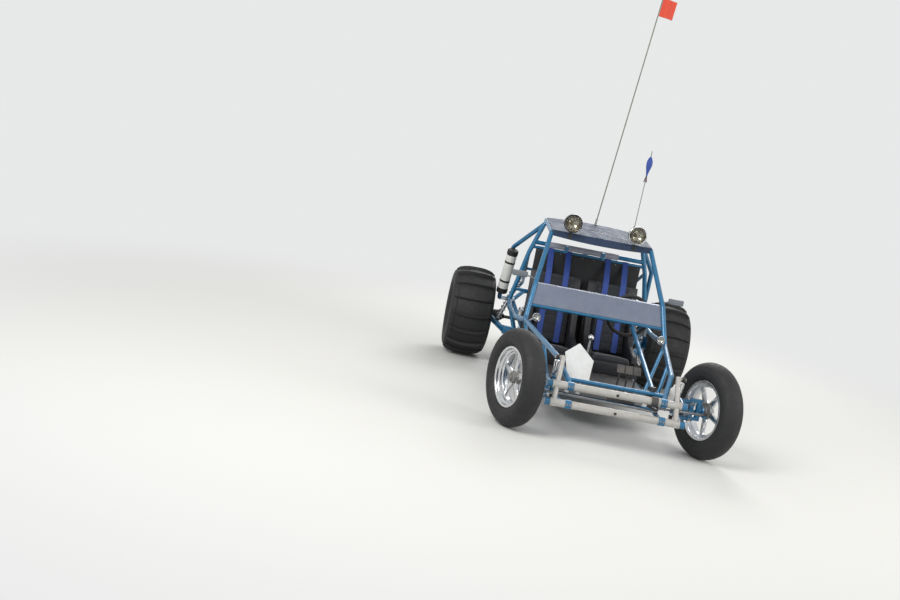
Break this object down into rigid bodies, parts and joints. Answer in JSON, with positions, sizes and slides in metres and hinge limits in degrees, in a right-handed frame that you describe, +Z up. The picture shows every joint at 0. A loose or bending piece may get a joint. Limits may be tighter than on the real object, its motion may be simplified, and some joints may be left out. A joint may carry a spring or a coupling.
{
  "type": "two-seat tube-frame dune buggy",
  "caption": "Open tube-frame dune buggy with twin-tube front beam, narrow smooth front tyres, wide paddle rear tyres, roof sheet, round lamps and a rear flat engine.",
  "frame": {"origin": "on the ground, under the middle of the bounding box", "axes": "+Z up, -Y the way the vehicle faces, +X its left (driver's side)"},
  "size_m": [2.112, 3.503, 3.3004],
  "materials": {
    "frame_paint": "metallic blue paint on tube",
    "beam_paint": "silver paint",
    "sheet": "brushed sheet",
    "roof_paint": "dark blue paint",
    "white_paint": "white paint",
    "black_panel": "black",
    "pale_plastic": "white plastic",
    "tyre": "worn rubber",
    "alloy": "polished",
    "iron": "machined iron",
    "steel": "bare steel",
    "chrome": "chrome",
    "black_rubber": "black rubber",
    "seat_cloth": "black vinyl and cloth",
    "strap": "blue webbing",
    "grey_plastic": "grey plastic",
    "flag_orange": "orange cloth",
    "flag_blue": "blue cloth",
    "cast_alloy": "cast alloy",
    "engine_black": "black engine tin"
  },
  "bodies": {
    "chassis": {"frame_side_left": "frame_paint", "frame_side_right": "frame_paint", "floor_rails": "frame_paint", "frame_cross": "frame_paint", "main_hoop": "frame_paint", "roof_frame": "frame_paint", "rear_frame": "frame_paint", "floor_pan": "sheet", "dash_panel": "sheet", "roof_panel": "roof_paint", "toe_board": "white_paint", "firewall": "black_panel", "storage_tube": "pale_plastic", "bar_sleeve": "pale_plastic", "front_beam": "beam_paint", "beam_clamps": "frame_paint", "front_arms": "frame_paint", "front_shocks": "steel", "steering_box": "iron", "steering_column": "steel", "pedals": "steel", "gear_shifter": "chrome", "seats": "seat_cloth", "harnesses": "strap", "driving_lamps": "chrome", "marker_lamps": "chrome", "mirrors": "grey_plastic", "whips": "pale_plastic", "flag_tall": "flag_orange", "flag_short": "flag_blue", "transaxle": "cast_alloy", "engine": "cast_alloy", "fan_shroud": "engine_black", "generator": "engine_black", "intake": "cast_alloy", "exhaust": "steel", "rear_arms": "frame_paint", "rear_shocks": "steel", "fuel_tank": "alloy", "tow_tab": "frame_paint"},
    "knuckle_left": {"knuckle_left": "iron"},
    "knuckle_right": {"knuckle_right": "iron"},
    "wheel_front_left": {"front_tyre_left": "tyre", "front_rim_left": "alloy", "front_hub_left": "iron"},
    "wheel_front_right": {"front_tyre_right": "tyre", "front_rim_right": "alloy", "front_hub_right": "iron"},
    "wheel_rear_left": {"rear_tyre_left": "tyre", "rear_rim_left": "alloy", "drive_shaft_left": "iron"},
    "wheel_rear_right": {"rear_tyre_right": "tyre", "rear_rim_right": "alloy", "drive_shaft_right": "iron"},
    "pitman": {"pitman_arm": "iron"},
    "tie_rod_left": {"tie_rod_left": "steel"},
    "tie_rod_right": {"tie_rod_right": "steel"},
    "steering_wheel": {"steering_wheel": "black_rubber"}
  },
  "joints": [
    {"name": "steer_left", "type": "hinge", "parent": "chassis", "child": "knuckle_left", "pos_m": [0.607, -1.40351, 0.336], "axis": [0, 0, 1], "range_deg": [-48, 8]},
    {"name": "steer_right", "type": "hinge", "parent": "chassis", "child": "knuckle_right", "pos_m": [-0.607, -1.40351, 0.336], "axis": [0, 0, 1], "range_deg": [-48, 8]},
    {"name": "pitman_turn", "type": "hinge", "parent": "chassis", "child": "pitman", "pos_m": [0.255, -1.45851, 0.311], "axis": [0, 0, 1], "range_deg": [-48, 8]},
    {"name": "tie_left_turn", "type": "hinge", "parent": "pitman", "child": "tie_rod_left", "pos_m": [0.28578, -1.54308, 0.3248], "axis": [0, 0, 1], "range_deg": [-8, 48]},
    {"name": "tie_right_turn", "type": "hinge", "parent": "pitman", "child": "tie_rod_right", "pos_m": [0.28578, -1.54308, 0.2972], "axis": [0, 0, 1], "range_deg": [-8, 48]},
    {"name": "steering_wheel_turn", "type": "hinge", "parent": "chassis", "child": "steering_wheel", "pos_m": [0.298, -0.07351, 0.727], "axis": [0.0305, 0.9763, 0.2141], "range_deg": [-432, 72]},
    {"name": "front_left_spin", "type": "hinge", "parent": "knuckle_left", "child": "wheel_front_left", "pos_m": [0.67654, -1.3782, 0.336], "axis": [0.9397, 0.342, 0], "continuous": true},
    {"name": "front_right_spin", "type": "hinge", "parent": "knuckle_right", "child": "wheel_front_right", "pos_m": [-0.67654, -1.42882, 0.336], "axis": [0.9397, 0.342, 0], "continuous": true},
    {"name": "rear_left_spin", "type": "hinge", "parent": "chassis", "child": "wheel_rear_left", "pos_m": [0.87, 0.99649, 0.388], "axis": [1, 0, 0], "continuous": true},
    {"name": "rear_right_spin", "type": "hinge", "parent": "chassis", "child": "wheel_rear_right", "pos_m": [-0.87, 0.99649, 0.388], "axis": [1, 0, 0], "continuous": true}
  ],
  "couplings": [
    {"joint": "steer_right", "follows": "steer_left", "ratio": 1},
    {"joint": "pitman_turn", "follows": "steer_left", "ratio": 1},
    {"joint": "tie_left_turn", "follows": "steer_left", "ratio": -1},
    {"joint": "tie_right_turn", "follows": "steer_left", "ratio": -1},
    {"joint": "steering_wheel_turn", "follows": "steer_left", "ratio": 9}
  ]
}
